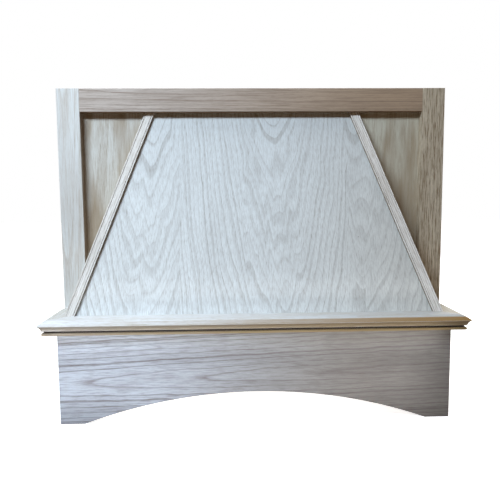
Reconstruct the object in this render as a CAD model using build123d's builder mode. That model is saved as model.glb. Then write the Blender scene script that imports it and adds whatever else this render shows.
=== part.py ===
from build123d import *
import math
import os

# Wall-hung oak range hood cover, in millimetres, +Z up, +Y towards the wall.
# The origin is at the middle of the bounding box's underside.

# ---------------------------------------------------------------- driving dimensions

# box and face frame
hood_height = 631.0
frame_width = 762.0
box_depth = 304.8  # wall to the front of the face frame
stile_width = 44.5
rail_width = 44.5
frame_thickness = 19.0
side_thickness = 12.7
side_reveal = 6.35  # the stile stands this far past the side panel
side_groove_depth = 6.35
rail_housing_depth = 6.35  # the hanging rails' ends are let into the side panels
sheet_thickness = 6.35  # infill panels and sloped panel
board_thickness = 19.0  # band, rails, cleats and nailers

# band below the ledge
band_inset = 15.0  # its sides, in from the outer edges of the stiles
band_projection = 97.5  # valance in front of the face frame
band_height = 173.0
foot_width = 46.5
arch_rise = 56.0

# ledge moulding
ledge_thickness = 27.7
ledge_stock_width = 76.0
ledge_overhang = 28.0
nose_bevel_width = 15.0
nose_bevel_drop = 9.0
nose_bevel_crown = 1.2
lip_height = 9.8
lip_recess = 6.5
lip_hollow = 1.0
quirk_height = 3.2
quirk_depth = 4.0

# chimney
chimney_foot_inset = 10.0  # its slanted edges at the ledge, in from the band's sides
chimney_head_inset = 124.5  # and at the top rail, in from the stiles
panel_setback = 21.5  # valance front to sloped panel's face, at the ledge
cheek_thickness = 12.7
strip_width = 18.0
strip_thickness = 6.35
strip_bead_radius = 1.4
strip_quirk_width = 0.9
infill_lap = 25.0  # infill panels and cheeks reach this far up behind the top rail
infill_tail = 20.0  # and this far down behind the stiles
notch_clearance = 0.3

# hidden frame
top_cleat_height = 76.2
top_cleat_thickness = 25.4
top_cleat_seat = 38.1  # height of its face on the rail
cleat_height = 19.0
corner_block_leg = 25.0
corner_block_foot = 6.0  # its lower end, above the valance's feet
corner_block_height = 58.0
liner_rail_height = 63.5
liner_height = 70.0  # underside of the liner rails
hanging_rail_height = 89.0
stud_spacing = 406.4
wall_hole_radius = 3.0

# screws
screw_clearance = 0.05
pocket_angle = 15.0
pocket_radius = 4.75
pocket_shoulder = 12.0  # wood left between the pocket and the joint
pocket_spacing = 20.0
pocket_screw_length = 32.0
pocket_head_radius = 4.2
pocket_head_height = 2.4
shank_radius = 1.9
csk_head_radius = 4.2
csk_angle = 82.0
ledge_screw_length = 32.0
ledge_screws_front = 4
ledge_screw_inset = 47.0  # outermost front screws, in from the band's inner faces

# softened corners
eased_edge = 1.0

# ---------------------------------------------------------------- places worked out from them

overall_depth = box_depth + band_projection + ledge_overhang
back_y = overall_depth / 2
face_y = back_y - box_depth
frame_back_y = face_y + frame_thickness
valance_y = face_y - band_projection
valance_back_y = valance_y + board_thickness
nose_y = valance_y - ledge_overhang
ledge_inner_y = nose_y + ledge_stock_width
panel_foot_y = valance_y + panel_setback

frame_x = frame_width / 2
stile_inner_x = frame_x - stile_width
side_outer_x = frame_x - side_reveal
side_inner_x = side_outer_x - side_thickness
band_x = frame_x - band_inset
band_inner_x = band_x - board_thickness
nose_x = band_x + ledge_overhang
ledge_inner_x = nose_x - ledge_stock_width

ledge_z = band_height + ledge_thickness
rail_z = hood_height - rail_width
lap_z = rail_z + infill_lap

# the chimney's two slopes: across the front, and from the ledge back to the rail
chimney_foot_half_width = band_x - chimney_foot_inset
chimney_head_half_width = stile_inner_x - chimney_head_inset
chimney_rise = rail_z - ledge_z
side_slope = (chimney_foot_half_width - chimney_head_half_width) / chimney_rise
lean_slope = (frame_back_y - panel_foot_y) / chimney_rise
lean_angle = math.atan(lean_slope)
sheet_depth = sheet_thickness / math.cos(lean_angle)
cheek_breadth = cheek_thickness * math.hypot(1, side_slope)
nailer_breadth = board_thickness * math.hypot(1, side_slope)
notch_z = ledge_z + (chimney_foot_half_width - stile_inner_x) / side_slope + notch_clearance


def chimney_x(z):
    """Outer half width of the chimney at height z."""
    return chimney_foot_half_width - side_slope * (z - ledge_z)


def panel_y(z):
    """Depth of the sloped panel's front face at height z."""
    return panel_foot_y + lean_slope * (z - ledge_z)


def panel_back_y(z):
    """Depth of the sloped panel's back face at height z."""
    return panel_y(z) + sheet_depth


def front_plane(y):
    """Upright plane at depth y, drawn with +X to the right and +Z up."""
    return Plane.XZ.offset(-y)


# ---------------------------------------------------------------- shared operations


def finish(piece, name):
    """Label a piece and write its file."""
    piece.part.label = name
    export_step(piece.part, f"parts/{name}.step")


def finish_pair(right_piece, name):
    """Write a right-hand piece and its mirror image on the left."""
    finish(right_piece, f"right_{name}")
    with BuildPart() as left_piece:
        mirror(right_piece.part, about=Plane.YZ)
    finish(left_piece, f"left_{name}")


def board(x, y, z):
    """Square-edged board between the limits given as (low, high) on each axis."""
    with BuildPart() as piece:
        with Locations((x[0], y[0], z[0])):
            Box(x[1] - x[0], y[1] - y[0], z[1] - z[0], align=(Align.MIN, Align.MIN, Align.MIN))
    return piece


def extrude_along_y(points, low, high, mode=Mode.ADD):
    """Straight-sided outline seen from the front, from depth low to depth high."""
    with BuildSketch(front_plane(low)) as face:
        Polygon(*points)
    extrude(face.sketch, amount=-(high - low), mode=mode)


def extrude_along_x(points, low, high, mode=Mode.ADD):
    """Straight-sided outline seen from the right, from low to high."""
    with BuildSketch(Plane.YZ.offset(low)) as face:
        Polygon(*points)
    extrude(face.sketch, amount=high - low, mode=mode)


def extrude_along_z(points, low, high, mode=Mode.ADD):
    """Straight-sided outline seen from above, from height low to height high."""
    with BuildSketch(Plane.XY.offset(low)) as face:
        Polygon(*points)
    extrude(face.sketch, amount=high - low, mode=mode)


def csk_screw(length):
    """Countersunk screw with its head's top at the sketch origin, pointing down."""
    cone = (csk_head_radius - shank_radius) / math.tan(math.radians(csk_angle / 2))
    with BuildSketch(Plane.XZ) as half_section:
        Polygon((0, 0), (csk_head_radius, 0), (shank_radius, -cone), (shank_radius, -length), (0, -length))
    revolve(half_section.sketch, axis=Axis.Z)


# ---------------------------------------------------------------- screw places

# pocket screws: from the rail's back face through its end into the stile, two at each joint
pocket_lean = math.radians(pocket_angle)
pocket_axis = Vector(math.cos(pocket_lean), -math.sin(pocket_lean), 0)
pocket_exit_y = face_y + frame_thickness / 2
rail_middle_z = rail_z + rail_width / 2
pocket_exits = [
    Vector(stile_inner_x, pocket_exit_y, rail_middle_z + rise)
    for rise in (-pocket_spacing / 2, pocket_spacing / 2)
]
pocket_planes = [
    Plane(origin=place - pocket_axis * pocket_shoulder, z_dir=pocket_axis) for place in pocket_exits
]

# hanging rails
upper_rail_z = hood_height - hanging_rail_height
lower_rail_z = liner_height

# ledge screws, driven up through the cleats
ledge_cleat_z = band_height - cleat_height
front_screw_y = valance_back_y + board_thickness / 2
side_screw_x = band_inner_x - board_thickness / 2
side_screw_y = (valance_back_y + board_thickness + face_y) / 2
last_screw_x = band_inner_x - ledge_screw_inset
ledge_screw_spacing = 2 * last_screw_x / (ledge_screws_front - 1)


def upward_screw_plane(x, y):
    """Plane under a ledge cleat, from which a screw is driven up."""
    return Plane(origin=(x, y, ledge_cleat_z), x_dir=(1, 0, 0), z_dir=(0, 0, -1))


front_screw_planes = [
    upward_screw_plane(-last_screw_x + index * ledge_screw_spacing, front_screw_y)
    for index in range(ledge_screws_front)
]
right_screw_plane = upward_screw_plane(side_screw_x, side_screw_y)
left_screw_plane = upward_screw_plane(-side_screw_x, side_screw_y)
ledge_screw_planes = [*front_screw_planes, right_screw_plane, left_screw_plane]


def csk_holes(planes):
    """Countersunk holes for the ledge screws on these planes, cut in the open part."""
    hole_radius = shank_radius + screw_clearance
    sink_radius = csk_head_radius + screw_clearance
    with Locations(*[Location(plane) for plane in planes]):
        CounterSinkHole(hole_radius, sink_radius, ledge_screw_length, csk_angle)


def pocket_cuts():
    """Pockets, clearance holes and pilot holes of one joint, cut in the open part."""
    with Locations(*[Location(plane) for plane in pocket_planes]):
        Cylinder(
            pocket_radius,
            frame_thickness / math.sin(pocket_lean),
            align=(Align.CENTER, Align.CENTER, Align.MAX),
            mode=Mode.SUBTRACT,
        )
        Cylinder(
            shank_radius + screw_clearance,
            pocket_screw_length,
            align=(Align.CENTER, Align.CENTER, Align.MIN),
            mode=Mode.SUBTRACT,
        )


# ---------------------------------------------------------------- face frame

os.makedirs("parts", exist_ok=True)

with BuildPart() as right_stile:
    with Locations((stile_inner_x, face_y, 0)):
        Box(stile_width, frame_thickness, hood_height, align=(Align.MIN, Align.MIN, Align.MIN))
    fillet(right_stile.edges().filter_by(Axis.Z).group_by(Axis.Y)[0], eased_edge)
    with Locations((side_inner_x, frame_back_y, 0)):
        Box(
            side_thickness,
            side_groove_depth,
            hood_height,
            align=(Align.MIN, Align.MAX, Align.MIN),
            mode=Mode.SUBTRACT,
        )
    pocket_cuts()
finish_pair(right_stile, "stile")

with BuildPart() as top_rail:
    with Locations((0, face_y, rail_z)):
        Box(2 * stile_inner_x, frame_thickness, rail_width, align=(Align.CENTER, Align.MIN, Align.MIN))
    fillet(top_rail.edges().filter_by(Axis.X).group_by(Axis.Y)[0], eased_edge)
    pocket_cuts()
    mirror(about=Plane.YZ, mode=Mode.INTERSECT)
finish(top_rail, "top_rail")

with BuildPart() as pocket_screws:
    with Locations(*[Location(plane) for plane in pocket_planes]):
        Cylinder(pocket_head_radius, pocket_head_height, align=(Align.CENTER, Align.CENTER, Align.MAX))
        Cylinder(
            shank_radius,
            pocket_screw_length - pocket_head_height,
            align=(Align.CENTER, Align.CENTER, Align.MIN),
        )
    mirror(about=Plane.YZ)
finish(pocket_screws, "pocket_screws")

# ---------------------------------------------------------------- box behind the face frame

with BuildPart() as right_side_panel:
    with Locations((side_inner_x, frame_back_y - side_groove_depth, 0)):
        Box(
            side_thickness,
            back_y - frame_back_y + side_groove_depth,
            hood_height,
            align=(Align.MIN, Align.MIN, Align.MIN),
        )
    with Locations((side_inner_x, back_y, lower_rail_z), (side_inner_x, back_y, upper_rail_z)):
        Box(
            rail_housing_depth,
            board_thickness,
            hanging_rail_height,
            align=(Align.MIN, Align.MAX, Align.MIN),
            mode=Mode.SUBTRACT,
        )
finish_pair(right_side_panel, "side_panel")

for rail_name, rail_bottom in (("upper_hanging_rail", upper_rail_z), ("lower_hanging_rail", lower_rail_z)):
    with BuildPart() as hanging_rail:
        with Locations((0, back_y, rail_bottom)):
            Box(
                2 * (side_inner_x + rail_housing_depth),
                board_thickness,
                hanging_rail_height,
                align=(Align.CENTER, Align.MAX, Align.MIN),
            )
        with Locations(front_plane(back_y - board_thickness)):
            with Locations((0, rail_bottom + hanging_rail_height / 2)):
                with GridLocations(stud_spacing, 0, 2, 1):
                    Hole(wall_hole_radius)
    finish(hanging_rail, rail_name)

# ---------------------------------------------------------------- infill panels and their nailers

infill_foot_z = notch_z - infill_tail

with BuildPart() as right_infill_panel:
    extrude_along_y(
        [
            (chimney_x(infill_foot_z), infill_foot_z),
            (side_inner_x, infill_foot_z),
            (side_inner_x, lap_z),
            (chimney_x(lap_z), lap_z),
        ],
        frame_back_y,
        frame_back_y + sheet_thickness,
    )
finish_pair(right_infill_panel, "infill_panel")

infill_back_y = frame_back_y + sheet_thickness
cheek_back_y = infill_back_y + board_thickness

with BuildPart() as right_infill_nailer:
    extrude_along_y(
        [
            (chimney_x(notch_z), notch_z),
            (chimney_x(notch_z) + nailer_breadth, notch_z),
            (chimney_x(lap_z) + nailer_breadth, lap_z),
            (chimney_x(lap_z), lap_z),
        ],
        infill_back_y,
        cheek_back_y,
    )
finish_pair(right_infill_nailer, "infill_nailer")

# ---------------------------------------------------------------- chimney

with BuildPart() as sloped_front_panel:
    extrude_along_x(
        [
            (panel_y(ledge_z), ledge_z),
            (panel_back_y(ledge_z), ledge_z),
            (panel_back_y(rail_z), rail_z),
            (panel_y(rail_z), rail_z),
        ],
        -chimney_foot_half_width,
        chimney_foot_half_width,
    )
    extrude_along_y(
        [
            (-chimney_x(ledge_z), ledge_z),
            (chimney_x(ledge_z), ledge_z),
            (chimney_x(rail_z), rail_z),
            (-chimney_x(rail_z), rail_z),
        ],
        nose_y,
        back_y,
        mode=Mode.INTERSECT,
    )
finish(sloped_front_panel, "sloped_front_panel")

# cheek: notched over the stile, its front edge along the panel's back, its head behind the rail
with BuildPart() as right_cheek:
    extrude_along_x(
        [
            (panel_back_y(ledge_z), ledge_z),
            (face_y, ledge_z),
            (face_y, notch_z),
            (cheek_back_y, notch_z),
            (cheek_back_y, lap_z),
            (frame_back_y, lap_z),
            (frame_back_y, rail_z),
            (panel_back_y(rail_z), rail_z),
        ],
        0,
        frame_x,
    )
    extrude_along_y(
        [
            (chimney_x(ledge_z) - cheek_breadth, ledge_z),
            (chimney_x(ledge_z), ledge_z),
            (chimney_x(lap_z), lap_z),
            (chimney_x(lap_z) - cheek_breadth, lap_z),
        ],
        nose_y,
        back_y,
        mode=Mode.INTERSECT,
    )
finish_pair(right_cheek, "cheek")

# cleat behind the rail, rabbeted over the head of the sloped panel
top_cleat_top_z = rail_z + top_cleat_seat
top_cleat_foot_z = top_cleat_top_z - top_cleat_height
top_cleat_back_y = frame_back_y + top_cleat_thickness


def inside_cheek(z):
    """Half width between the cheeks at height z."""
    return chimney_x(z) - cheek_breadth


with BuildPart() as chimney_top_cleat:
    extrude_along_x(
        [
            (frame_back_y, rail_z),
            (panel_back_y(rail_z), rail_z),
            (panel_back_y(top_cleat_foot_z), top_cleat_foot_z),
            (top_cleat_back_y, top_cleat_foot_z),
            (top_cleat_back_y, top_cleat_top_z),
            (frame_back_y, top_cleat_top_z),
        ],
        -frame_x,
        frame_x,
    )
    extrude_along_y(
        [
            (-inside_cheek(top_cleat_foot_z), top_cleat_foot_z),
            (inside_cheek(top_cleat_foot_z), top_cleat_foot_z),
            (inside_cheek(top_cleat_top_z), top_cleat_top_z),
            (-inside_cheek(top_cleat_top_z), top_cleat_top_z),
        ],
        nose_y,
        back_y,
        mode=Mode.INTERSECT,
    )
finish(chimney_top_cleat, "chimney_top_cleat")

# foot cleats on the ledge, inside the chimney
foot_cleat_top_z = ledge_z + cleat_height
foot_cleat_back_y = panel_back_y(ledge_z) + board_thickness

with BuildPart() as front_foot_cleat:
    extrude_along_x(
        [
            (panel_back_y(ledge_z), ledge_z),
            (foot_cleat_back_y, ledge_z),
            (foot_cleat_back_y, foot_cleat_top_z),
            (panel_back_y(foot_cleat_top_z), foot_cleat_top_z),
        ],
        -frame_x,
        frame_x,
    )
    extrude_along_y(
        [
            (-inside_cheek(ledge_z), ledge_z),
            (inside_cheek(ledge_z), ledge_z),
            (inside_cheek(foot_cleat_top_z), foot_cleat_top_z),
            (-inside_cheek(foot_cleat_top_z), foot_cleat_top_z),
        ],
        nose_y,
        back_y,
        mode=Mode.INTERSECT,
    )
finish(front_foot_cleat, "front_foot_cleat")

with BuildPart() as right_foot_cleat:
    extrude_along_y(
        [
            (inside_cheek(ledge_z) - board_thickness, ledge_z),
            (inside_cheek(ledge_z), ledge_z),
            (inside_cheek(foot_cleat_top_z), foot_cleat_top_z),
            (inside_cheek(ledge_z) - board_thickness, foot_cleat_top_z),
        ],
        foot_cleat_back_y,
        face_y,
    )
finish_pair(right_foot_cleat, "foot_cleat")

# beaded strip over the slanted edge of the panel
edge_run = Vector(
    chimney_x(rail_z) - chimney_x(ledge_z),
    panel_y(rail_z) - panel_y(ledge_z),
    chimney_rise,
)
panel_normal = Vector(0, -math.cos(lean_angle), math.sin(lean_angle))
strip_extra = strip_width + strip_thickness  # length to trim off at each end
strip_start = Vector(chimney_x(ledge_z), panel_y(ledge_z), ledge_z) - edge_run.normalized() * strip_extra
# the section is drawn across from the strip's outer edge, and out from the panel
strip_plane = Plane(origin=strip_start, x_dir=panel_normal.cross(edge_run), z_dir=edge_run)
bead = strip_bead_radius
bead_shoulder = strip_thickness - bead
field_start = 2 * bead + strip_quirk_width
field_end = strip_width - field_start

with BuildPart() as right_edge_strip:
    with BuildSketch(strip_plane):
        with BuildLine():
            ThreePointArc((0, bead_shoulder), (bead, strip_thickness), (2 * bead, bead_shoulder))
            Polyline(
                (2 * bead, bead_shoulder),
                (field_start, bead_shoulder),
                (field_start, strip_thickness),
                (field_end, strip_thickness),
                (field_end, bead_shoulder),
                (strip_width - 2 * bead, bead_shoulder),
            )
            ThreePointArc(
                (strip_width - 2 * bead, bead_shoulder),
                (strip_width - bead, strip_thickness),
                (strip_width, bead_shoulder),
            )
            Polyline(
                (strip_width, bead_shoulder),
                (strip_width, 0),
                (0, 0),
                (0, bead_shoulder),
            )
        make_face()
    extrude(amount=edge_run.length + 2 * strip_extra)
    split(bisect_by=Plane.XY.offset(ledge_z), keep=Keep.TOP)
    split(bisect_by=Plane.XY.offset(rail_z), keep=Keep.BOTTOM)
finish_pair(right_edge_strip, "edge_strip")

# ---------------------------------------------------------------- ledge moulding


def ledge_section():
    """Section of the ledge: distance in from the nose, and height."""
    nose_z = ledge_z - nose_bevel_drop
    lip_z = nose_z - lip_height
    bead_top_z = lip_z - quirk_height
    bead_radius = (bead_top_z - band_height) / 2
    quirk_bottom = lip_recess + quirk_depth
    bead_back = lip_recess + bead_radius
    bevel_middle = (nose_bevel_width - nose_bevel_crown) / 2
    with BuildLine() as outline:
        ThreePointArc(
            (nose_bevel_width, ledge_z),
            (bevel_middle, ledge_z - nose_bevel_drop / 2 + nose_bevel_crown),
            (0, nose_z),
        )
        ThreePointArc(
            (0, nose_z),
            (lip_recess / 2 + lip_hollow, nose_z - lip_height / 2 + lip_hollow),
            (lip_recess, lip_z),
        )
        Polyline(
            (lip_recess, lip_z),
            (quirk_bottom, lip_z),
            (quirk_bottom, bead_top_z),
            (bead_back, bead_top_z),
        )
        ThreePointArc(
            (bead_back, bead_top_z),
            (bead_back - bead_radius, bead_top_z - bead_radius),
            (bead_back, band_height),
        )
        Polyline(
            (bead_back, band_height),
            (ledge_stock_width, band_height),
            (ledge_stock_width, ledge_z),
            (nose_bevel_width, ledge_z),
        )
    make_face(outline.edges())


# the section's own plane runs in from the nose, so each length starts on a plane at its nose
with BuildPart() as front_ledge_moulding:
    with BuildSketch(Plane(origin=(-nose_x, nose_y, 0), x_dir=(0, 1, 0), z_dir=(1, 0, 0))):
        ledge_section()
    extrude(amount=2 * nose_x)
    extrude_along_z(
        [
            (-nose_x, nose_y),
            (nose_x, nose_y),
            (ledge_inner_x, ledge_inner_y),
            (-ledge_inner_x, ledge_inner_y),
        ],
        0,
        hood_height,
        mode=Mode.INTERSECT,
    )
    csk_holes(front_screw_planes)
finish(front_ledge_moulding, "front_ledge_moulding")

with BuildPart() as right_ledge_moulding:
    with BuildSketch(Plane(origin=(nose_x, nose_y, 0), x_dir=(-1, 0, 0), z_dir=(0, 1, 0))):
        ledge_section()
    extrude(amount=face_y - nose_y)
    extrude_along_z(
        [(nose_x, nose_y), (nose_x, face_y), (ledge_inner_x, face_y), (ledge_inner_x, ledge_inner_y)],
        0,
        hood_height,
        mode=Mode.INTERSECT,
    )
    csk_holes([right_screw_plane])
finish_pair(right_ledge_moulding, "ledge_moulding")

# ---------------------------------------------------------------- band

arch_half_width = band_x - foot_width

with BuildPart() as arched_valance:
    with BuildSketch(front_plane(valance_y)):
        with BuildLine():
            ThreePointArc((-arch_half_width, 0), (0, arch_rise), (arch_half_width, 0))
            Polyline(
                (arch_half_width, 0),
                (band_x, 0),
                (band_x, band_height),
                (-band_x, band_height),
                (-band_x, 0),
                (-arch_half_width, 0),
            )
        make_face()
    extrude(amount=-board_thickness)
    extrude_along_z(
        [
            (-band_x, valance_y),
            (band_x, valance_y),
            (band_inner_x, valance_back_y),
            (-band_inner_x, valance_back_y),
        ],
        0,
        hood_height,
        mode=Mode.INTERSECT,
    )
    arch_edge = arched_valance.edges().filter_by(GeomType.CIRCLE).sort_by(Axis.Y)[0]
    fillet(arch_edge, eased_edge)
finish(arched_valance, "arched_valance")

with BuildPart() as right_band_side:
    extrude_along_z(
        [(band_x, valance_y), (band_x, face_y), (band_inner_x, face_y), (band_inner_x, valance_back_y)],
        0,
        band_height,
    )
finish_pair(right_band_side, "band_side")

with BuildPart() as right_corner_block:
    extrude_along_z(
        [
            (band_inner_x, valance_back_y),
            (band_inner_x, valance_back_y + corner_block_leg),
            (band_inner_x - corner_block_leg, valance_back_y),
        ],
        corner_block_foot,
        corner_block_foot + corner_block_height,
    )
finish_pair(right_corner_block, "corner_block")

# ledge cleats, glued inside the band and screwed up into the ledge
ledge_cleat_back_y = valance_back_y + board_thickness

with BuildPart() as front_ledge_cleat:
    with Locations((0, valance_back_y, ledge_cleat_z)):
        Box(2 * band_inner_x, board_thickness, cleat_height, align=(Align.CENTER, Align.MIN, Align.MIN))
    csk_holes(front_screw_planes)
finish(front_ledge_cleat, "front_ledge_cleat")

with BuildPart() as right_ledge_cleat:
    with Locations((band_inner_x, ledge_cleat_back_y, ledge_cleat_z)):
        Box(
            board_thickness,
            face_y - ledge_cleat_back_y,
            cleat_height,
            align=(Align.MAX, Align.MIN, Align.MIN),
        )
    csk_holes([right_screw_plane])
finish_pair(right_ledge_cleat, "ledge_cleat")

with BuildPart() as ledge_screws:
    with BuildPart(mode=Mode.PRIVATE) as ledge_screw:
        csk_screw(ledge_screw_length)
    with Locations(*[Location(plane) for plane in ledge_screw_planes]):
        add(ledge_screw.part)
finish(ledge_screws, "ledge_screws")

# liner rails, level with the lower hanging rail's underside
liner_rail_z = (liner_height, liner_height + liner_rail_height)
liner_front_y = valance_back_y + board_thickness
front_liner_rail = board((-band_inner_x, band_inner_x), (valance_back_y, liner_front_y), liner_rail_z)
finish(front_liner_rail, "front_liner_rail")
right_liner_rail = board(
    (stile_inner_x - board_thickness, stile_inner_x),
    (liner_front_y, back_y - board_thickness),
    liner_rail_z,
)
finish_pair(right_liner_rail, "liner_rail")
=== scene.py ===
import math

import bmesh
import bpy
import numpy as np
from bpy.props import FloatProperty, FloatVectorProperty, PointerProperty
from mathutils import Matrix, Vector


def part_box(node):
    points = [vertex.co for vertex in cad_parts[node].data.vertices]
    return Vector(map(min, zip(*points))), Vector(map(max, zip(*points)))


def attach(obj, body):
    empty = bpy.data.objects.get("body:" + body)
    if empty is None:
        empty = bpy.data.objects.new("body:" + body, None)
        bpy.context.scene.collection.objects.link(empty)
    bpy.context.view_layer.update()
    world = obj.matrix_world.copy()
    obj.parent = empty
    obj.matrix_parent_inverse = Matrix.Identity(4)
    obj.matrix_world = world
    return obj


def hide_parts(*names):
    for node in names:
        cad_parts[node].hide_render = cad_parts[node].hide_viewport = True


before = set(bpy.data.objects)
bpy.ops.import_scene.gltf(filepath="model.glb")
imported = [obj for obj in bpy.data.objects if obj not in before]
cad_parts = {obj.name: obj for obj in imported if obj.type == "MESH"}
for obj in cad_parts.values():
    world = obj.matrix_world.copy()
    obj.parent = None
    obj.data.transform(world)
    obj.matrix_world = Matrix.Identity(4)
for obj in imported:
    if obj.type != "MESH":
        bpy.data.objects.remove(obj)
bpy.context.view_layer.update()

bl_info = {
    "name": "Oak range hood cover",
    "version": (1, 0, 0),
    "blender": (4, 5, 0),
    "location": "3D View > Sidebar > Hood cover",
    "description": "Dresses the joinery of a wall-hung oak hood cover in sanded, unfinished red oak",
    "category": "Object",
}

BODY = "root"
ALONG_X = Vector((1, 0, 0))
ALONG_Y = Vector((0, 1, 0))
UP = Vector((0, 0, 1))
FRONT = Vector((0, -1, 0))


def tone(red, green, blue):
    """A colour as the eye reads it, from 0 to 255, turned into linear light."""
    return tuple(
        c / 12.92 if c <= 0.04045 else ((c + 0.055) / 1.055) ** 2.4
        for c in (red / 255, green / 255, blue / 255)
    )


# ---- what a user would change


def length(name, description, default):
    return FloatProperty(
        name=name, description=description, default=default, min=0, unit="LENGTH", precision=5
    )


def amount(name, description, default, unit="NONE"):
    return FloatProperty(name=name, description=description, default=default, unit=unit)


def colour(name, description, default):
    return FloatVectorProperty(
        name=name, description=description, default=default, size=3, min=0, max=1, subtype="COLOR"
    )


class HoodSizes(bpy.types.PropertyGroup):
    """Sizes of the milled and eased edges"""

    arris: length("Arris", "Width of the sanded edge of a board", 0.0008)
    fine_arris: length("Fine arris", "Width of the sanded edge of the ledge moulding", 0.00035)
    veneer_arris: length("Veneer arris", "Width of the sanded edge of a face sheet", 0.0003)
    sheet_arris: length("Sheet arris", "Width of the sanded edge of a cheek or box side", 0.0004)
    strip_arris: length("Strip arris", "Width of the sanded edge of an edge strip", 0.00015)
    bevel_width: length("Nose bevel width", "Flat top to the nose, measured level", 0.015)
    bevel_drop: length("Nose bevel drop", "Flat top to the nose, measured down", 0.009)
    bevel_crown: length("Nose bevel crown", "Swelling of the bevel at its middle", 0.0012)
    lip_height: length("Lip height", "Height of the hollow below the nose", 0.0098)
    lip_recess: length("Lip recess", "How far the hollow runs in under the nose", 0.0065)
    lip_hollow: length("Lip hollow", "Depth of the hollow", 0.001)
    quirk_height: length("Quirk height", "Height of the slot over the ledge's bead", 0.0032)
    quirk_depth: length("Quirk depth", "Depth of the slot over the ledge's bead", 0.004)
    strip_width: length("Strip width", "Width of an edge strip", 0.018)
    strip_thickness: length("Strip thickness", "Thickness of an edge strip", 0.00635)
    strip_bead: length("Strip bead", "Radius of a strip's two beads", 0.0014)
    strip_quirk: length("Strip quirk", "Width of the slot beside a strip's bead", 0.0009)
    brad_head: length("Brad head", "Radius of a set brad", 0.0009)


class HoodColours(bpy.types.PropertyGroup):
    """Colours of the woods, the steel and the floor"""

    veneer: colour("Sheet", "Pale wood of the sloped sheet", tone(243, 251, 255))
    veneer_line: colour("Sheet rings", "Ring lines of the sloped sheet", tone(176, 178, 178))
    pore: colour("Pores", "Open pores of the oak", tone(112, 90, 68))
    timber: colour("Timber", "Pale wood of the hidden timber", tone(226, 205, 166))
    timber_line: colour("Timber rings", "Ring lines of the hidden timber", tone(198, 160, 108))
    steel: colour("Steel", "Zinc plate of the screws", tone(190, 190, 186))
    floor: colour("Floor", "Plain pale floor", tone(244, 244, 244))


class StudioSetting(bpy.types.PropertyGroup):
    """Camera and light"""

    lens: amount("Lens", "Focal length on a 36 mm sensor", 38.41, "CAMERA")
    key_power: amount("Key light", "Wide softbox at the upper left", 23, "POWER")
    apron_power: amount("Apron light", "Low strips before the band", 0.48, "POWER")
    back_power: amount("Back light", "Softboxes behind the face frame", 32, "POWER")
    top_strength: amount("Top light", "Even light from overhead", 1.15)
    ambient: amount("Room light", "Light that comes from all round", 0.085)
    floor_glow: amount("Floor glow", "Light of the floor's own, as on a light table", 0.85)


# ---- shader arithmetic


def set_stops(elements, stops):
    """Gives a colour ramp its (place, height) stops."""
    while len(elements) < len(stops):
        elements.new(1.0)
    for element, (place, height) in zip(elements, stops):
        element.position = place
        element.color = (height, height, height, 1)


def add_node(tree, kind, inputs, settings):
    """Adds a node, sets it up, and only then gives its sockets values or links."""
    node = tree.nodes.new(kind)
    for key, setting in settings.items():
        if key == "stops":
            set_stops(node.color_ramp.elements, setting)
        else:
            setattr(node, key, setting)
    for key, value in (inputs or {}).items():
        if isinstance(value, bpy.types.NodeSocket):
            tree.links.new(value, node.inputs[key])
        else:
            node.inputs[key].default_value = value
    return node


class Value:
    """A socket's value. Python arithmetic on it adds Math nodes."""

    def __init__(self, finish, socket):
        self.finish = finish
        self.socket = socket

    def math(self, operation, *others):
        return self.finish.node("ShaderNodeMath", dict(enumerate((self, *others))), operation=operation)

    def __add__(self, other):
        return self.math("ADD", other)

    __radd__ = __add__

    def __sub__(self, other):
        return self.math("SUBTRACT", other)

    def __rsub__(self, other):
        return (self * -1) + other

    def __mul__(self, other):
        return self.math("MULTIPLY", other)

    __rmul__ = __mul__

    def __truediv__(self, other):
        return self.math("DIVIDE", other)

    def __pow__(self, other):
        return self.math("POWER", other)


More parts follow.
